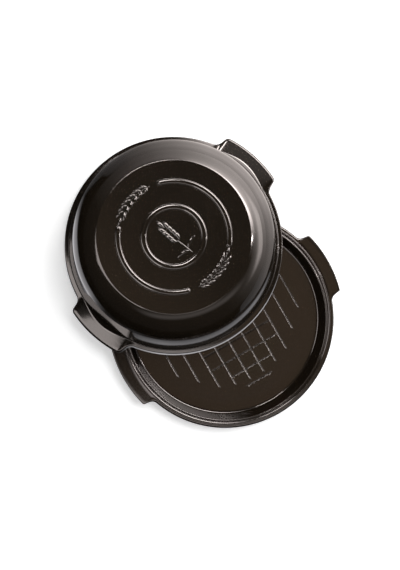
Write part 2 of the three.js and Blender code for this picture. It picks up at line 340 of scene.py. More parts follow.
# Floor, and the pool of light that glossy rays see on it, with a painted shadow where the pool stays
# dark close round the lid. Distances are from the lid's centre.
FLOOR_GREY = (0.8, 0.8, 0.8, 1)
FLOOR_TINT = (0.99, 0.965, 1, 1)
FLOOR_ROUGHNESS = 0.9
FLOOR_GLOW = 0.4
FLOOR_HALF = 6000.0
FLOOR_DROP = 0.2
POOL_STRENGTH = 3.5
POOL_LEVELS = [
    (-180, 0.42), (-165, 0.38), (-150, 0.3), (-142, 0.08), (-135, 0.01), (-125, 0.01),
    (-115, 0.03), (-90, 0.05), (-45, 0.05), (-30, 0.1), (-15, 0.2), (0, 0.3), (15, 0.5),
    (30, 0.85), (50, 0.95), (70, 0.9), (90, 0.5), (105, 0.24), (120, 0.1), (135, 0.04),
    (150, 0.03), (158, 0.1), (168, 0.35), (180, 0.42),
]
# Painted shadow: the pool is dark up to the first distance and fades in by the second.
POOL_SHADOW_EDGE = (150.0, 162.0)
POOL_SIZE = 6000.0
POOL_REACHES = [
    (-180, 0.05), (-150, 0.05), (-120, 0.034), (-60, 0.03), (-45, 0.05), (-20, 1), (115, 1),
    (135, 0.05), (150, 0.03), (165, 0.04), (180, 0.05),
]
POOL_FADE = 60.0
POOL_NEAR = (150.0, 450.0)
POOL_NEAR_DIMMING = 0.55
POOL_BRIGHT_SIDE = [(-180, 0), (-40, 0), (-10, 1), (110, 1), (140, 0), (180, 0)]


# Outline of a piece and rows of points that follow it

def ease(share):
    return share * share * (3 - 2 * share)


def arc_stations(centre, radius, start, end, steps, hollow=False):
    """Places and outward directions along an arc without its end. A hollow arc faces its centre."""
    side = -1 if hollow else 1
    stations = []
    for i in range(steps):
        angle = math.radians(start + (end - start) * i / steps)
        across = (math.cos(angle), math.sin(angle))
        stations.append((
            centre[0] + radius * across[0],
            centre[1] + radius * across[1],
            side * across[0],
            side * across[1],
        ))
    return stations


def run_to_circle(start, step, distance):
    """How far to go from a start along a unit step to meet a circle round the origin."""
    half = start[0] * step[0] + start[1] * step[1]
    square = start[0] ** 2 + start[1] ** 2
    return -half - math.sqrt(half * half - square + distance * distance)


def quarter_outline(handle, rim_radius):
    """Stations from the middle of a handle's tip to the rim halfway to the other handle."""
    tip_angle = math.radians(handle["half_angle"])
    flank = tip_angle + math.pi - math.radians(handle["flare"])
    inward = (math.cos(flank), math.sin(flank))
    outward = (inward[1], -inward[0])
    tip = (handle["tip"] * math.cos(tip_angle), handle["tip"] * math.sin(tip_angle))

    def slide(offset, distance):
        start = (tip[0] + outward[0] * offset, tip[1] + outward[1] * offset)
        run = run_to_circle(start, inward, distance)
        return (start[0] + inward[0] * run, start[1] + inward[1] * run)

    corner = slide(-handle["corner"], handle["tip"] - handle["corner"])
    root = slide(handle["root"], rim_radius + handle["root"])
    corner_angle = math.degrees(math.atan2(corner[1], corner[0]))
    root_angle = math.degrees(math.atan2(root[1], root[0]))
    outward_angle = math.degrees(math.atan2(outward[1], outward[0]))

    stations = arc_stations((0, 0), handle["tip"], 0, corner_angle, TIP_STEPS)
    stations += arc_stations(corner, handle["corner"], corner_angle, outward_angle, CORNER_STEPS)
    first_x = corner[0] + outward[0] * handle["corner"]
    first_y = corner[1] + outward[1] * handle["corner"]
    last_x = root[0] - outward[0] * handle["root"]
    last_y = root[1] - outward[1] * handle["root"]
    for i in range(FLANK_STEPS):
        share = i / FLANK_STEPS
        x = first_x + (last_x - first_x) * share
        y = first_y + (last_y - first_y) * share
        stations.append((x, y, outward[0], outward[1]))
    hollow = (outward_angle + 180, root_angle + 180)
    stations += arc_stations(root, handle["root"], *hollow, ROOT_STEPS, hollow=True)
    stations += arc_stations((0, 0), rim_radius, root_angle, 90, RIM_STEPS)
    return stations


class Outline:
    """A piece's outline all the way round, with rings and edges of points that follow it."""

    def __init__(self, handle, rim_radius):
        quarter = quarter_outline(handle, rim_radius)
        far = [(-x, y, -nx, ny) for x, y, nx, ny in reversed(quarter[1:])]
        middle = [(0.0, rim_radius, 0.0, 1.0)]
        half = quarter + middle + far
        whole = half + [(-x, -y, -nx, -ny) for x, y, nx, ny in half]
        self.x, self.y, self.nx, self.ny = np.array(whole).T
        radius = np.hypot(self.x, self.y)
        self.angle = np.arctan2(self.y, self.x)
        self.share = ease(np.clip((radius - rim_radius) / (handle["tip"] - rim_radius), 0, 1))
        self.count = len(self.x)

    def mix(self, plain, handle):
        """A value that is plain round the rim and changes to the handle's out to its tip."""
        return plain + (handle - plain) * self.share

    def ring(self, radius, height):
        radius = radius + np.zeros(self.count)
        height = height + np.zeros(self.count)
        return np.stack([radius * np.cos(self.angle), radius * np.sin(self.angle), height], 1)

    def rings(self, profile):
        return [self.ring(radius, height) for radius, height in profile]

    def edge(self, offset, height):
        height = height + np.zeros(self.count)
        return np.stack([self.x - self.nx * offset, self.y - self.ny * offset, height], 1)


def between(first, last, steps):
    """Rows of points from first to last, without the two themselves."""
    return [first + (last - first) * i / steps for i in range(1, steps)]


def extend(rows, more, steps):
    """Adds rows, with a straight stretch in so many steps up to the first of them."""
    rows += between(rows[-1], more[0], steps)
    rows += more


def arc_profile(centre, radius, start, end, steps):
    points = []
    for i in range(steps + 1):
        angle = math.radians(start + (end - start) * i / steps)
        points.append((centre[0] + radius * math.cos(angle), centre[1] + radius * math.sin(angle)))
    return points


# Lid

def lean_of_lid():
    """Tilt of the lid and height of its centre, from where its edge and the two rims meet."""
    near = (LEAN_DISTANCE ** 2 + RIM_INNER_RADIUS ** 2 - RIDGE_RADIUS ** 2) / (2 * LEAN_DISTANCE)
    far = LID_RADIUS - RIM_EDGE
    tilt = 0.0
    for _ in range(SETTLE_STEPS):
        rise = BASE_HEIGHT + SEAT_GAP - RIM_EDGE * (1 - math.cos(tilt))
        tilt = math.atan(rise / (far * math.cos(tilt) + near))
    height = far * math.sin(tilt) + RIM_EDGE * (1 - math.cos(tilt))
    return tilt, height


def lid_matrix():
    tilt, height = lean_of_lid()
    direction = math.radians(LEAN_DIRECTION)
    towards = Vector((math.cos(direction), math.sin(direction), 0))
    across = Vector((0, 0, 1)).cross(towards)
    place = towards * LEAN_DISTANCE
    place.z = height
    lean = Matrix.Rotation(tilt, 4, across)
    turn = Matrix.Rotation(math.radians(LEAN_TURN), 4, "Z")
    return Matrix.Translation(place) @ lean @ turn


def wall_radius(height):
    return LID_RADIUS - LEDGE - (height - BAND_HEIGHT) * math.tan(math.radians(DRAFT))


def dome_centre():
    """Radius and height of the round shoulder's centre, and radius of the flat top."""
    slope = math.radians(90 - FOLD_SLOPE)
    inner = SHOULDER_RADIUS - TOP_EDGE
    height = LID_HEIGHT - TOP_EDGE - inner * math.sin(slope)
    draft = math.radians(DRAFT)
    wall = wall_radius(height + SHOULDER_RADIUS * math.sin(draft))
    radius = wall - SHOULDER_RADIUS * math.cos(draft)
    return radius, height, radius + inner * math.cos(slope)


def dome_outside():
    """The dome from the edge of its flat top down to the end of the round shoulder."""
    radius, height, top_radius = dome_centre()
    slope = 90 - FOLD_SLOPE
    fold = arc_profile((top_radius, LID_HEIGHT - TOP_EDGE), TOP_EDGE, 90, slope, FOLD_STEPS)
    return fold + arc_profile((radius, height), SHOULDER_RADIUS, slope, DRAFT, DOME_STEPS)[1:]


def dome_inside():
    """The inner wall from the band's height up to the flat ceiling."""
    radius, height, _ = dome_centre()
    inner = SHOULDER_RADIUS - LID_WALL
    edge_angle = math.degrees(math.asin((LID_HEIGHT - LID_WALL - height) / inner))
    foot = wall_radius(BAND_HEIGHT) - LID_WALL / math.cos(math.radians(DRAFT))
    shoulder = arc_profile((radius, height), inner, DRAFT, edge_angle, DOME_INSIDE_STEPS)
    return [(foot, BAND_HEIGHT)] + shoulder


def from_handles(angle):
    """Degrees between an angle and the nearer of the handles, which point along X."""
    return np.abs((angle + 90) % 180 - 90)


def bead(distance, half_width):
    """Height share of a raised line with round sides, by distance from its middle."""
    share = np.clip(np.abs(distance) / half_width, 0, 1)
    return np.sqrt(np.clip(1 - share ** BEAD_ROUNDNESS, 0, 1))


def lid_relief(x, y):
    """Height of the ring and of the two arcs above the flat top."""
    radius = np.hypot(x, y)
    ring = bead(radius - RING_RADIUS, RING_HALF_WIDTH)
    from_axis = from_handles(np.degrees(np.arctan2(y, x)))
    along = np.radians(np.clip(from_axis, 0, ARC_HALF_ANGLE))
    from_axis = np.radians(from_axis)
    away_x = radius * np.cos(from_axis) - ARC_RADIUS * np.cos(along)
    away_y = radius * np.sin(from_axis) - ARC_RADIUS * np.sin(along)
    arcs = bead(np.hypot(away_x, away_y), ARC_HALF_WIDTH)
    return RELIEF_HEIGHT * np.maximum(ring, arcs)


def stretch(start, end, step):
    """Even places after a start up to an end, about a step apart."""
    count = max(1, round(abs(end - start) / step))
    return [start + (end - start) * i / count for i in range(1, count + 1)]


def lid_top_radii():
    """Radii of the rows on the flat top, close together across the raised lines."""
    radii = []
    place = 0
    for middle, half_width, step in (
        (RING_RADIUS, RING_HALF_WIDTH, TOP_INNER_STEP),
        (ARC_RADIUS, ARC_HALF_WIDTH, TOP_MIDDLE_STEP),
    ):
        low = middle - half_width - RELIEF_MARGIN
        high = middle + half_width + RELIEF_MARGIN
        radii += stretch(place, low, step) + stretch(low, high, RELIEF_STEP)
        place = high
    return radii + stretch(place, dome_centre()[2] - FOLD_MARGIN, TOP_OUTER_STEP)


def lid_top_rows(outline):
    rows = []
    for radius in lid_top_radii():
        row = outline.ring(radius, LID_HEIGHT)
        row[:, 2] += lid_relief(row[:, 0], row[:, 1])
        rows.append(row)
    return rows + outline.rings(dome_outside())


def lid_fillet_rows(outline):
    """The fillet from the wall to the ledge, which swells over the handles."""
    share = np.clip(from_handles(np.degrees(outline.angle)) / FILLET_HALF_ANGLE, 0, 1)
    lens = np.cos(share * math.pi / 2) ** FILLET_TAPER
    fillet = WALL_FILLET + (HANDLE_FILLET - WALL_FILLET) * lens
    centre_z = outline.mix(BAND_HEIGHT, LID_HANDLE["top"]) + fillet
    centre_r = wall_radius(centre_z) + fillet / math.cos(math.radians(DRAFT))
    rows = []
    for i in range(FILLET_STEPS + 1):
        angle = math.radians(180 + DRAFT + (90 - DRAFT) * i / FILLET_STEPS)
        radius = centre_r + fillet * math.cos(angle)
        rows.append(outline.ring(radius, centre_z + fillet * math.sin(angle)))
    return rows


def lid_bevel_rows(outline):
    """The rounded upper edge of the band and the handles."""
    handle = LID_HANDLE
    top = outline.mix(BAND_HEIGHT - BAND_SLOPE, handle["top"] - handle["top_fall"])
    bevel = outline.mix(BAND_TOP_EDGE, handle["top_edge"])
    offset = outline.mix(BAND_DRAFT, handle["draft"])
    level = math.cos(math.radians(TOP_SLOPE))
    rows = []
    for i in range(BEVEL_STEPS + 1):
        angle = math.radians(TOP_SLOPE + (90 - TOP_SLOPE) * i / BEVEL_STEPS)
        height = top - bevel * (level - math.cos(angle))
        rows.append(outline.edge(offset + bevel * (1 - math.sin(angle)), height))
    return rows


def lid_low_rows(outline):
    """The rounded lower edge of the band and the handles."""
    handle = LID_HANDLE
    under = outline.mix(handle["underside"], handle["underside"] + handle["underside_rise"])
    bevel = outline.mix(BAND_LOW_EDGE, handle["low_edge"])
    rows = []
    for i in range(LOW_EDGE_STEPS + 1):
        angle = math.radians(90 * i / LOW_EDGE_STEPS)
        height = under + bevel * (1 - math.sin(angle))
        rows.append(outline.edge(bevel * (1 - math.cos(angle)), height))
    return rows


def lid_rows():
    """All rows of the lid, from the middle of its top round the rim to the middle inside."""
    outline = Outline(LID_HANDLE, LID_RADIUS)
    rows = lid_top_rows(outline)
    extend(rows, lid_fillet_rows(outline), LID_WALL_STEPS)
    extend(rows, lid_bevel_rows(outline), LEDGE_STEPS)
    extend(rows, lid_low_rows(outline), LID_SIDE_STEPS)
    foot = outline.ring(LID_RADIUS, LID_HANDLE["underside"] - BAND_FOOT_DROP)
    extend(rows, [foot], LID_UNDER_STEPS)
    outer = (LID_RADIUS - RIM_EDGE, RIM_EDGE)
    inner = (RIM_INNER_RADIUS, RIM_INNER_EDGE)
    rows += outline.rings(arc_profile(outer, RIM_EDGE, 0, -90, LID_RIM_STEPS))
    rows += outline.rings(arc_profile(inner, RIM_INNER_EDGE, 270, 180, LID_RIM_STEPS))
    return rows + outline.rings(dome_inside())


# Base plate

def base_inside_rows(outline):
    """Rows from the edge of the flat floor up the wall and over its rounded mouth."""
    rows = [outline.ring(FLOOR_RADIUS, FLOOR_THICKNESS)]
    for i in range(1, FLOOR_STEPS + 1):
        share = i / FLOOR_STEPS
        radius = FLOOR_RADIUS + (WALL_FOOT_RADIUS - WALL_FOOT_FILLET - FLOOR_RADIUS) * share
        rise = FLOOR_RISE * (share * FLOOR_RISE_REACH) ** 2
        rows.append(outline.ring(radius, FLOOR_THICKNESS + rise))
    foot = FLOOR_THICKNESS + FLOOR_RISE
    mouth = (MOUTH_RADIUS, BASE_HEIGHT - MOUTH_EDGE)
    slope = math.atan2(mouth[1] - foot, mouth[0] - MOUTH_EDGE - WALL_FOOT_RADIUS)
    start = rows[-1]
    corner = outline.ring(WALL_FOOT_RADIUS, foot)
    end = outline.ring(
        WALL_FOOT_RADIUS + WALL_FOOT_FILLET * math.cos(slope),
        foot + WALL_FOOT_FILLET * math.sin(slope),
    )
    for i in range(1, WALL_FOOT_STEPS + 1):
        t = i / WALL_FOOT_STEPS
        rows.append(start * (1 - t) ** 2 + corner * 2 * t * (1 - t) + end * t ** 2)
    tangent = 90 + math.degrees(slope)
    rounded = arc_profile(mouth, MOUTH_EDGE, tangent, 90, MOUTH_STEPS)
    extend(rows, outline.rings(rounded), BASE_WALL_STEPS)
    return rows


def base_rim_rows(outline):
    """Rows over the groove and the ridge on top of the rim, down to its shoulder."""
    low = GROOVE_RADIUS - GROOVE_HALF_WIDTH
    rows = []
    for i in range(GROOVE_STEPS + 1):
        share = i / GROOVE_STEPS
        dip = GROOVE_DEPTH * math.sin(math.pi * share) ** GROOVE_ROUNDNESS
        rows.append(outline.ring(low + 2 * GROOVE_HALF_WIDTH * share, BASE_HEIGHT - dip))
    half = SHOULDER_DROP / 2
    height = BASE_HEIGHT - half
    round_in = arc_profile((RIDGE_RADIUS - half, height), half, 90, 0, RIDGE_STEPS)
    round_out = arc_profile((RIDGE_RADIUS + half, height), half, 180, 270, RIDGE_STEPS)
    return rows + outline.rings(round_in + round_out[1:])


def base_bevel_rows(outline):
    """The rounded upper edge of the rim and the handles."""
    shoulder = BASE_HEIGHT - SHOULDER_DROP
    top = outline.mix(shoulder, shoulder - BASE_HANDLE["top_fall"])
    bevel = outline.mix(SHOULDER_EDGE, BASE_HANDLE["top_edge"])
    rows = []
    for i in range(BEVEL_STEPS + 1):
        angle = math.radians(90 * i / BEVEL_STEPS)
        height = top - bevel * (1 - math.cos(angle))
        rows.append(outline.edge(bevel * (1 - math.sin(angle)), height))
    return rows


def base_rows():
    """All rows of the base plate, from the flat floor's edge round the rim to the foot."""
    outline = Outline(BASE_HANDLE, BASE_RADIUS)
    mix = outline.mix
    rows = base_inside_rows(outline) + base_rim_rows(outline)
    extend(rows, base_bevel_rows(outline), BASE_TOP_STEPS)

    under = BASE_HANDLE["underside"]
    low_edge = BASE_HANDLE["low_edge"]
    side_height = mix(SIDE_FOOT, under + BASE_HANDLE["underside_rise"] + low_edge)
    rows += between(rows[-1], outline.edge(0, side_height), BASE_SIDE_STEPS)
    for i in range(LOW_EDGE_STEPS + 1):
        angle = math.radians(90 * i / LOW_EDGE_STEPS)
        turned = 1 - math.cos(angle)
        rows.append(outline.edge(
            mix(UNDERCUT * turned, low_edge * turned),
            mix(SIDE_FOOT - UNDERCUT_HEIGHT * math.sin(angle), side_height - low_edge * math.sin(angle)),
        ))
    extend(rows, [outline.ring(UNDERSIDE_RADIUS, under)], BASE_UNDER_STEPS)
    foot = arc_profile((FOOT_RADIUS, FOOT_CHAMFER), FOOT_CHAMFER, 0, -90, FOOT_STEPS)
    return rows + outline.rings(UNDERSIDE_POINTS[::-1] + foot)


def groove_depth(across, along, half_length):
    """Depth of one floor groove, by the distance from its middle line and along it."""
    slope_width = GRID_HALF_WIDTH - GRID_BOTTOM_HALF_WIDTH
    side = ease(np.clip((GRID_HALF_WIDTH - np.abs(across)) / slope_width, 0, 1))
    end = ease(np.clip((half_length - np.abs(along)) / GRID_FADE, 0, 1))
    return GRID_DEPTH * side * end


def floor_lines(places):
    """Places of the mesh lines that follow the grooves, with a least gap between them."""
    lines = set()
    for place in places:
        for offset in GRID_OFFSETS:
            for side in (-1, 1):
                line = round(place + side * offset, LINE_DIGITS)
                if abs(line) < FLOOR_RADIUS:
                    lines.add(line)
    kept = []
    for line in sorted(lines):
        if not kept or line - kept[-1] > GRID_LEAST_GAP:
            kept.append(line)
    return kept


def floor_mesh(circle):
    """The flat floor with its grooves, as points and triangles that end on the given circle."""
    pitch = 2 * GRID_REACH / (GRID_LINES - 1)
    places = [i * pitch - GRID_REACH for i in range(GRID_LINES)]
    lines = floor_lines(places)
    grid_x, grid_y = np.meshgrid(lines, lines)
    inside = np.hypot(grid_x, grid_y) < FLOOR_RADIUS - GRID_EDGE_GAP
    points = [Vector(p) for p in circle]
    points += [Vector((x, y)) for x, y in zip(grid_x[inside], grid_y[inside])]
    count = len(circle)
    edges = [(i, (i + 1) % count) for i in range(count)]
    verts, _, faces, _, _, _ = delaunay_2d_cdt(points, edges, [], INSIDE_ONLY, WELD_DISTANCE)
    flat = np.array([tuple(v) for v in verts])
    depth = np.zeros(len(flat))
    for place in places:
        pair = int(abs(place) // pitch)
        row = groove_depth(flat[:, 1] - place, flat[:, 0], GRID_ROW_SHARES[pair] * GRID_REACH)
        column = groove_depth(flat[:, 0] - place, flat[:, 1], GRID_COLUMN_SHARES[pair] * GRID_REACH)
        depth = np.maximum(depth, np.maximum(row, column))
    return np.column_stack([flat, FLOOR_THICKNESS - depth]), [list(f) for f in faces]


# Meshes

def skin(rows):
    """Points and quads over rows that run round the piece."""
    count = len(rows[0])
    points = np.vstack(rows)
    faces = []
    for k in range(len(rows) - 1):
        low = k * count
        for i in range(count):
            j = (i + 1) % count
            faces.append([low + i, low + count + i, low + count + j, low + j])
    return points, faces


def cap(start, count, centre, flip):
    """Triangles that close a row of points, from its start to a point in its middle."""
    faces = []
    for i in range(count):
        pair = [start + i, start + (i + 1) % count]
        faces.append([centre] + (pair[::-1] if flip else pair))
    return faces


def add_object(name, points, faces, matrix, material):
    """A smooth mesh object, of points in millimetres that the matrix puts in place."""
    mesh = bpy.data.meshes.new(name)
    mesh.from_pydata([tuple(p) for p in points * MM], [], faces)
    mesh.validate()
    turn = matrix.copy()
    turn.translation = matrix.translation * MM
    mesh.transform(turn)
    for polygon in mesh.polygons:
        polygon.use_smooth = True
    mesh.materials.append(material)
    piece = bpy.data.objects.new(name, mesh)
    bpy.context.scene.collection.objects.link(piece)
    return piece


def make_lid(material):
    rows = lid_rows()
    points, faces = skin(rows)
    count = len(rows[0])
    top = len(points)
    points = np.vstack([points, [[0, 0, LID_HEIGHT], [0, 0, LID_HEIGHT - LID_WALL]]])
    faces += cap(0, count, top, False)
    faces += cap((len(rows) - 1) * count, count, top + 1, True)
    piece = add_object("lid_casting", points, faces, lid_matrix(), material)
    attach(piece, "lid")
    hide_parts("cloche_lid")


def make_base(material):
    rows = base_rows()
    points, faces = skin(rows)
    count = len(rows[0])
    floor_points, floor_faces = floor_mesh([(x, y) for x, y, _ in rows[0]])
    start = len(points)
    points = np.vstack([points, floor_points[count:], [[0, 0, 0]]])
    for face in floor_faces:
        faces.append([i if i < count else start + i - count for i in face])
    faces += cap((len(rows) - 1) * count, count, len(points) - 1, True)
    piece = add_object("base_casting", points, faces, Matrix(), material)
    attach(piece, "base")
    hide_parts("base_plate")


# Ornament on the lid

def raised_line(path, half_width, height, plump):
    """A closed ridge along a path, half sunk in the lid's top, and pointed at both ends."""
    path = np.array(path)
    run = np.gradient(path, axis=0)
    run /= np.linalg.norm(run, axis=1)[:, None]
    shares = np.clip(np.linspace(0, 1, len(path)), RIDGE_END, 1 - RIDGE_END)
    swell = np.sin(math.pi * shares) ** plump
    turns = np.linspace(0, 2 * math.pi, RIDGE_SIDES, endpoint=False)
    rows = []
    for place, along, share in zip(path, run, swell):
        across = half_width * share * np.cos(turns)
        rows.append(np.column_stack([
            place[0] - along[1] * across,
            place[1] + along[0] * across,
            LID_HEIGHT + height * share * np.sin(turns),
        ]))
    points, faces = skin(rows)
    last = len(points) - 1
    faces += [list(range(RIDGE_SIDES)), list(range(last, last - RIDGE_SIDES, -1))]
    return points, faces


def leaf_path(start, heading, length, bow):
    """Points from a start along a heading in degrees, which bow aside like a leaf."""
    points = []
    for share in np.linspace(0, 1, LEAF_STEPS):
        angle = math.radians(heading + bow * share)
        run = length * share
        points.append((start[0] + run * math.cos(angle), start[1] + run * math.sin(angle)))
    return points


def wheat_ear():
    """Paths, half widths and plumpness of an ear of wheat that stands along +Y in the ring."""
    stalk = leaf_path(EAR_STALK_START, EAR_STALK_HEADING, EAR_STALK_LENGTH, EAR_STALK_BOW)
    lines = [(stalk, EAR_STALK_HALF_WIDTH, STALK_PLUMPNESS)]
    for i in range(EAR_PAIRS):
        place = KERNEL_START + KERNEL_PITCH * i
        for side in (-1, 1):
            start = (KERNEL_ASIDE * side, place)
            kernel = leaf_path(start, 90 - side * KERNEL_SPREAD, KERNEL_LENGTH, side * KERNEL_BOW)
            lines.append((kernel, KERNEL_HALF_WIDTH, KERNEL_PLUMPNESS))
    tip = leaf_path((0, EAR_TIP_START), 90, EAR_TIP_LENGTH, 0)
    lines.append((tip, KERNEL_HALF_WIDTH, KERNEL_PLUMPNESS))
    for side, place in BLADE_PLACES:
        start = (BLADE_ASIDE, place)
        blade = leaf_path(start, 90 - side * BLADE_SPREAD, BLADE_LENGTH, -side * BLADE_BOW)
        lines.append((blade, BLADE_HALF_WIDTH, LEAF_PLUMPNESS))
    return lines


def sprig(side):
    """A leafy twig along the arcs' circle, between their ends, on one side of the lid."""
    middle = 90 * side

    def place(angle):
        turn = math.radians(middle + angle)
        return (ARC_RADIUS * math.cos(turn), ARC_RADIUS * math.sin(turn))

    stalk = [place(angle) for angle in np.linspace(-SPRIG_SPAN, SPRIG_SPAN, SPRIG_STEPS)]
    lines = [(stalk, SPRIG_HALF_WIDTH, STALK_PLUMPNESS)]
    run = 2 * SPRIG_SPAN - SPRIG_START - SPRIG_END
    for i in range(SPRIG_PAIRS):
        angle = -SPRIG_SPAN + SPRIG_START + i * run / SPRIG_PAIRS
        length = SPRIG_LEAF_LENGTH - SPRIG_LEAF_TAPER * abs(i - SPRIG_PAIRS / 2)
        for turn in (-1, 1):
            heading = middle + angle + 90 + turn * SPRIG_LEAF_SPREAD
            leaf = leaf_path(place(angle), heading, length, -turn * SPRIG_LEAF_BOW)
            lines.append((leaf, SPRIG_LEAF_HALF_WIDTH, LEAF_PLUMPNESS))
    tip = leaf_path(place(SPRIG_SPAN - SPRIG_END), middle + SPRIG_SPAN + 90, SPRIG_TIP_LENGTH, 0)
    lines.append((tip, SPRIG_TIP_HALF_WIDTH, LEAF_PLUMPNESS))
    return lines


def make_ornament(material):
    points, faces = [], []
    for path, half_width, plump in wheat_ear() + sprig(1) + sprig(-1):
        height = RELIEF_HEIGHT * min(1, RIDGE_LEAST_SHARE + half_width / RIDGE_FULL_WIDTH)
        line_points, line_faces = raised_line(path, half_width, height, plump)
        start = len(points)
        points.extend(line_points)
        faces += [[start + i for i in face] for face in line_faces]
    piece = add_object("wheat_relief", np.array(points), faces, lid_matrix(), material)
    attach(piece, "lid")


# Materials

class Graph:
    """A node tree with short ways to add nodes: a value is set on a socket, and a socket is linked."""

    def __init__(self, tree):
        self.nodes = tree.nodes
        self.links = tree.links

    def put(self, socket, value):
        if isinstance(value, bpy.types.NodeSocket):
            self.links.new(value, socket)
        else:
            socket.default_value = value

    def math(self, operation, first, second=0.0):
        node = self.nodes.new("ShaderNodeMath")
        node.operation = operation
        self.put(node.inputs[0], first)
        self.put(node.inputs[1], second)
        return node.outputs[0]

    def product(self, first, *others):
        for other in others:
            first = self.math("MULTIPLY", first, other)
        return first

    def dot(self, vector, direction):
        node = self.nodes.new("ShaderNodeVectorMath")
        node.operation = "DOT_PRODUCT"
        self.put(node.inputs[0], vector)
        self.put(node.inputs[1], direction)
        return node.outputs["Value"]

    def span(self, value, start, end, low=0.0, high=1.0, smooth=True):
        """A value that goes from low to high between a start and an end."""
        node = self.nodes.new("ShaderNodeMapRange")
        node.interpolation_type = "SMOOTHSTEP" if smooth else "LINEAR"
        names = ("Value", "From Min", "From Max", "To Min", "To Max")
        for name, item in zip(names, (value, start, end, low, high)):
            self.put(node.inputs[name], item)
        return node.outputs["Result"]

    def ramp(self, value, stops):
        node = self.nodes.new("ShaderNodeValToRGB")
        elements = node.color_ramp.elements
        while len(elements) < len(stops):
            elements.new(1)
        for element, (position, colour) in zip(elements, stops):
            element.position = position
            element.color = colour
        self.put(node.inputs["Fac"], value)
        return node.outputs["Color"]

    def curve(self, value, stops):
        """A level read from stops of place and level, with straight lines between them."""
        start, end = stops[0][0], stops[-1][0]
        greys = [((place - start) / (end - start), (level, level, level, 1)) for place, level in stops]
        return self.ramp(self.span(value, start, end, smooth=False), greys)

    def mix(self, share, first, second):
        node = self.nodes.new("ShaderNodeMix")
        node.data_type = "RGBA"
        self.put(node.inputs["Factor"], share)
        self.put(node.inputs["A"], first)
        self.put(node.inputs["B"], second)
        return node.outputs["Result"]

    def mix_shaders(self, share, first, second):
        node = self.nodes.new("ShaderNodeMixShader")
        self.put(node.inputs["Fac"], share)
        self.put(node.inputs[1], first)
        self.put(node.inputs[2], second)
        return node.outputs["Shader"]

    def emission(self, strength, colour):
        node = self.nodes.new("ShaderNodeEmission")
        self.put(node.inputs["Strength"], strength)
        self.put(node.inputs["Color"], colour)
        return node.outputs["Emission"]

    def noise(self, scale, detail):
        place = self.nodes.new("ShaderNodeTexCoord")
        node = self.nodes.new("ShaderNodeTexNoise")
        node.inputs["Scale"].default_value = scale
        node.inputs["Detail"].default_value = detail
        self.put(node.inputs["Vector"], place.outputs["Object"])
        return node.outputs["Fac"]


def glaze(name, colour, fleck, roughness, spread, ripple):
    """A dark glaze with faint clouds and flecks, uneven in roughness and finely rippled."""
    material = bpy.data.materials.new(name)
    material.use_nodes = True
    graph = Graph(material.node_tree)
    shader = graph.nodes["Principled BSDF"]
    shader.inputs["IOR"].default_value = GLAZE_IOR
    cloudy = graph.noise(*CLOUD_NOISE)
    rich = tuple(c * CLOUD_GAIN for c in colour[:3]) + (1,)
    clouds = graph.ramp(cloudy, list(zip(CLOUD_STOPS, (colour, rich))))
    flecks = graph.ramp(graph.noise(*FLECK_NOISE), list(zip(FLECK_STOPS, (BLACK, WHITE))))
    graph.put(shader.inputs["Base Color"], graph.mix(flecks, clouds, fleck))
    low, high = roughness - spread, roughness + spread
    graph.put(shader.inputs["Roughness"], graph.span(cloudy, 0.0, 1.0, low, high, smooth=False))
    relief = graph.nodes.new("ShaderNodeBump")
    relief.inputs["Strength"].default_value = 1
    relief.inputs["Distance"].default_value = ripple
    graph.put(relief.inputs["Height"], graph.noise(*RIPPLE_NOISE))
    graph.put(shader.inputs["Normal"], relief.outputs["Normal"])
    return material


# Camera

def photo_direction(azimuth):
    """The level direction that lies at an azimuth of the photograph: 0 right, 90 up."""
    turn = math.radians(azimuth + CAMERA_UP_ANGLE - 90)
    return (math.cos(turn), math.sin(turn), 0.0)


def make_camera():
    back = Vector((CAMERA_LEAN_X, CAMERA_LEAN_Y, 1)).normalized()
    right = Vector(photo_direction(90)).cross(back).normalized()
    camera = bpy.data.objects.new("camera", bpy.data.cameras.new("camera"))
    turn = Matrix((right, back.cross(right), back)).transposed().to_4x4()
    place = Vector(CAMERA_TARGET) + back * CAMERA_DISTANCE
    camera.matrix_world = Matrix.Translation(place * MM) @ turn
    camera.data.sensor_width = SENSOR_MM
    camera.data.lens = CAMERA_FOCAL_PX / PHOTO_HEIGHT_PX * SENSOR_MM
    camera.data.clip_end = CAMERA_REACH * MM
    bpy.context.scene.collection.objects.link(camera)
    bpy.context.scene.camera = camera


def in_photo(right, up, height):
    """A point given along the photograph's right and up directions, in millimetres."""
    across = Vector(photo_direction(0))
    along = Vector(photo_direction(90))
    return Vector(CAMERA_TARGET) + across * right + along * up + Vector((0, 0, height))


# Lights and floor

def make_overhead_lamp():
    """A large soft lamp above, for the floor and the glaze's colour, that no glaze mirrors."""
    light = bpy.data.lights.new("overhead_softbox", "AREA")
    light.shape = "SQUARE"
    light.size = LAMP_SIZE * MM
    light.energy = LAMP_POWER
    lamp = bpy.data.objects.new("overhead_softbox", light)
    rise = math.radians(LAMP_ELEVATION)
    level = LAMP_DISTANCE * math.cos(rise)
    turn = math.radians(LAMP_AZIMUTH)
    place = in_photo(level * math.cos(turn), level * math.sin(turn), LAMP_DISTANCE * math.sin(rise))
    lamp.location = place * MM
    lamp.rotation_mode = "QUATERNION"
    lamp.rotation_quaternion = (in_photo(0, 0, LAMP_AIM_HEIGHT) - place).to_track_quat("-Z", "Y")
    lamp.visible_glossy = False
    bpy.context.scene.collection.objects.link(lamp)


def azimuth_of(graph, vector):
    """The photograph's azimuth of a direction, in degrees from -180 to 180."""
    across = graph.dot(vector, photo_direction(0))
    along = graph.dot(vector, photo_direction(90))
    return graph.math("DEGREES", graph.math("ARCTAN2", along, across))


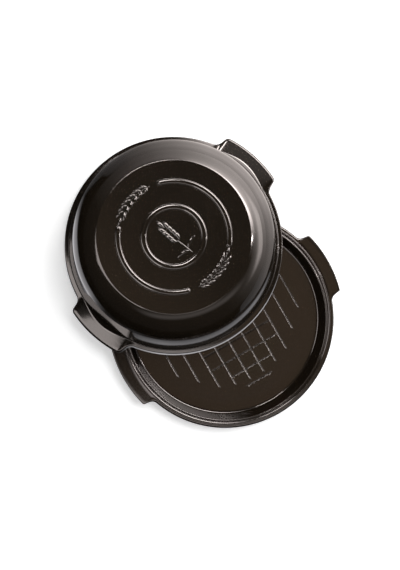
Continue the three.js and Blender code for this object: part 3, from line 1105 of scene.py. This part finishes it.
def seen_from_lid(graph):
    """Azimuth and distance of a surface point as seen from the lid's centre."""
    place = graph.nodes.new("ShaderNodeVectorMath")
    place.operation = "SUBTRACT"
    graph.put(place.inputs[0], graph.nodes.new("ShaderNodeNewGeometry").outputs["Position"])
    graph.put(place.inputs[1], lid_matrix().translation * MM)
    length = graph.nodes.new("ShaderNodeVectorMath")
    length.operation = "LENGTH"
    graph.put(length.inputs[0], place.outputs["Vector"])
    return azimuth_of(graph, place.outputs["Vector"]), length.outputs["Value"]


def pool_of_light(graph):
    """A glow on the floor all round the lid, whose strength and reach follow the azimuth, with a painted
    shadow: it stays dark close round the lid and fades in a little farther out.
    """
    azimuth, distance = seen_from_lid(graph)
    level = graph.curve(azimuth, POOL_LEVELS)
    end = graph.math("MULTIPLY", graph.curve(azimuth, POOL_REACHES), POOL_SIZE * MM)
    faded = graph.math("ADD", end, POOL_FADE * MM)
    fade = graph.span(distance, end, faded, 1.0, 0.0)
    # Painted shadow close round the lid: the glow fades in between these distances.
    start = graph.span(distance, POOL_SHADOW_EDGE[0] * MM, POOL_SHADOW_EDGE[1] * MM)
    near = graph.span(distance, POOL_NEAR[0] * MM, POOL_NEAR[1] * MM, POOL_NEAR_DIMMING, 0.0)
    bright_side = graph.curve(azimuth, POOL_BRIGHT_SIDE)
    kept = graph.math("SUBTRACT", 1.0, graph.math("MULTIPLY", near, bright_side))
    strength = graph.product(level, fade, POOL_STRENGTH, start, kept)
    return graph.emission(strength, graph.mix(bright_side, FLOOR_TINT, SIDE_TINT))


def floor_material():
    """Matt and pale, brighter for the camera, and a pool of light for glossy rays."""
    material = bpy.data.materials.new("pale_floor")
    material.use_nodes = True
    graph = Graph(material.node_tree)
    shader = graph.nodes["Principled BSDF"]
    shader.inputs["Roughness"].default_value = FLOOR_ROUGHNESS
    shader.inputs["Specular IOR Level"].default_value = 0
    path = graph.nodes.new("ShaderNodeLightPath")
    to_camera = path.outputs["Is Camera Ray"]
    graph.put(shader.inputs["Base Color"], graph.mix(to_camera, FLOOR_GREY, WHITE))
    seen = graph.nodes.new("ShaderNodeAddShader")
    graph.put(seen.inputs[0], shader.outputs["BSDF"])
    graph.put(seen.inputs[1], graph.emission(graph.math("MULTIPLY", to_camera, FLOOR_GLOW), WHITE))
    mirrored = pool_of_light(graph)
    surface = graph.mix_shaders(path.outputs["Is Glossy Ray"], seen.outputs["Shader"], mirrored)
    graph.put(graph.nodes["Material Output"].inputs["Surface"], surface)
    return material


def make_floor():
    half = FLOOR_HALF * MM
    low = -FLOOR_DROP * MM
    mesh = bpy.data.meshes.new("floor")
    corners = [(-half, -half, low), (half, -half, low), (half, half, low), (-half, half, low)]
    mesh.from_pydata(corners, [], [(0, 1, 2, 3)])
    mesh.materials.append(floor_material())
    floor = bpy.data.objects.new("floor", mesh)
    bpy.context.scene.collection.objects.link(floor)


def card_material():
    """Emits from its upper side, fading away from the lid, and is clear from below."""
    material = bpy.data.materials.new("bounce_card")
    material.use_nodes = True
    graph = Graph(material.node_tree)
    graph.nodes.remove(graph.nodes["Principled BSDF"])
    azimuth, distance = seen_from_lid(graph)
    fade = graph.span(distance, CARD_RADII[0] * MM, CARD_RADII[1] * MM, 1.0, 0.0, smooth=False)
    fade = graph.math("POWER", fade, CARD_FALL)
    strength = graph.product(fade, CARD_STRENGTH, graph.curve(azimuth, CARD_LEVELS))
    light = graph.emission(strength, FLOOR_TINT)
    from_below = graph.nodes.new("ShaderNodeNewGeometry").outputs["Backfacing"]
    clear = graph.nodes.new("ShaderNodeBsdfTransparent").outputs["BSDF"]
    surface = graph.mix_shaders(from_below, light, clear)
    graph.put(graph.nodes["Material Output"].inputs["Surface"], surface)
    return material


def make_bounce_card():
    """A thin card beside the lid's near wall, which only glossy rays from above see."""
    centre = lid_matrix().translation
    points = []
    for i in range(CARD_STEPS + 1):
        azimuth = CARD_AZIMUTHS[0] + (CARD_AZIMUTHS[1] - CARD_AZIMUTHS[0]) * i / CARD_STEPS
        out = Vector(photo_direction(azimuth))
        for radius in CARD_RADII:
            place = centre + out * radius
            points.append((place.x * MM, place.y * MM, CARD_HEIGHT * MM))
    faces = [(2 * i, 2 * i + 1, 2 * i + 3, 2 * i + 2) for i in range(CARD_STEPS)]
    mesh = bpy.data.meshes.new("bounce_card")
    mesh.from_pydata(points, [], faces)
    mesh.materials.append(card_material())
    card = bpy.data.objects.new("bounce_card", mesh)
    bpy.context.scene.collection.objects.link(card)
    card.visible_camera = False
    card.visible_diffuse = False
    card.visible_shadow = False


def box_of_light(graph, direction, height, azimuth, near, far, left, right, edge, strength):
    """A soft-edged rectangle of light above, seen from the part."""
    above = graph.math("MAXIMUM", height, LEAST_HEIGHT)
    out = graph.math("DIVIDE", graph.dot(direction, photo_direction(azimuth)), above)
    across = graph.math("DIVIDE", graph.dot(direction, photo_direction(azimuth + 90)), above)
    return graph.product(
        graph.span(out, near - edge, near + edge),
        strength,
        graph.span(out, far - edge, far + edge, 1.0, 0.0),
        graph.span(across, left - edge, left + edge),
        graph.span(across, right - edge, right + edge, 1.0, 0.0),
    )


def make_world():
    """Even light, and for glossy rays the dark studio's side, crescent, softboxes and warm boxes."""
    world = bpy.data.worlds.new("studio")
    world.use_nodes = True
    graph = Graph(world.node_tree)
    direction = graph.nodes.new("ShaderNodeTexCoord").outputs["Generated"]
    height = graph.dot(direction, (0.0, 0.0, 1.0))
    azimuth = azimuth_of(graph, direction)
    zenith = graph.math("DEGREES", graph.math("ARCCOSINE", height))

    def band(azimuths, zeniths, strength):
        return graph.product(graph.curve(azimuth, azimuths), graph.curve(zenith, zeniths), strength)

    side = band(SIDE_AZIMUTHS, SIDE_ZENITHS, SIDE_STRENGTH)
    crescent = band(CRESCENT_AZIMUTHS, CRESCENT_ZENITHS, CRESCENT_STRENGTH)
    mirrored = graph.math("ADD", graph.math("ADD", side, crescent), STUDIO_DARK)
    for box in SOFTBOXES:
        mirrored = graph.math("ADD", mirrored, box_of_light(graph, direction, height, *box))
    warm = 0.0
    for box in WARM_BOXES:
        warm = graph.math("ADD", warm, box_of_light(graph, direction, height, *box))
    mirrored = graph.math("ADD", mirrored, warm)

    path = graph.nodes.new("ShaderNodeLightPath")
    glossy = path.outputs["Is Glossy Ray"]
    strength = graph.mix(glossy, FILL, mirrored)
    strength = graph.mix(path.outputs["Is Camera Ray"], strength, WHITE)
    warmth = graph.product(graph.math("DIVIDE", warm, mirrored), glossy)
    tint = graph.mix(warmth, SIDE_TINT, WARM)
    background = graph.nodes["Background"]
    graph.put(background.inputs["Color"], graph.mix(glossy, WHITE, tint))
    graph.put(background.inputs["Strength"], strength)
    bpy.context.scene.world = world


def main():
    make_camera()
    gloss = glaze("gloss_charcoal_glaze", **GLOSS_GLAZE)
    satin = glaze("satin_charcoal_glaze", **SATIN_GLAZE)
    make_lid(gloss)
    make_ornament(gloss)
    make_base(satin)
    make_floor()
    make_world()
    make_overhead_lamp()
    make_bounce_card()
    bpy.context.scene.view_settings.view_transform = "Standard"


main()
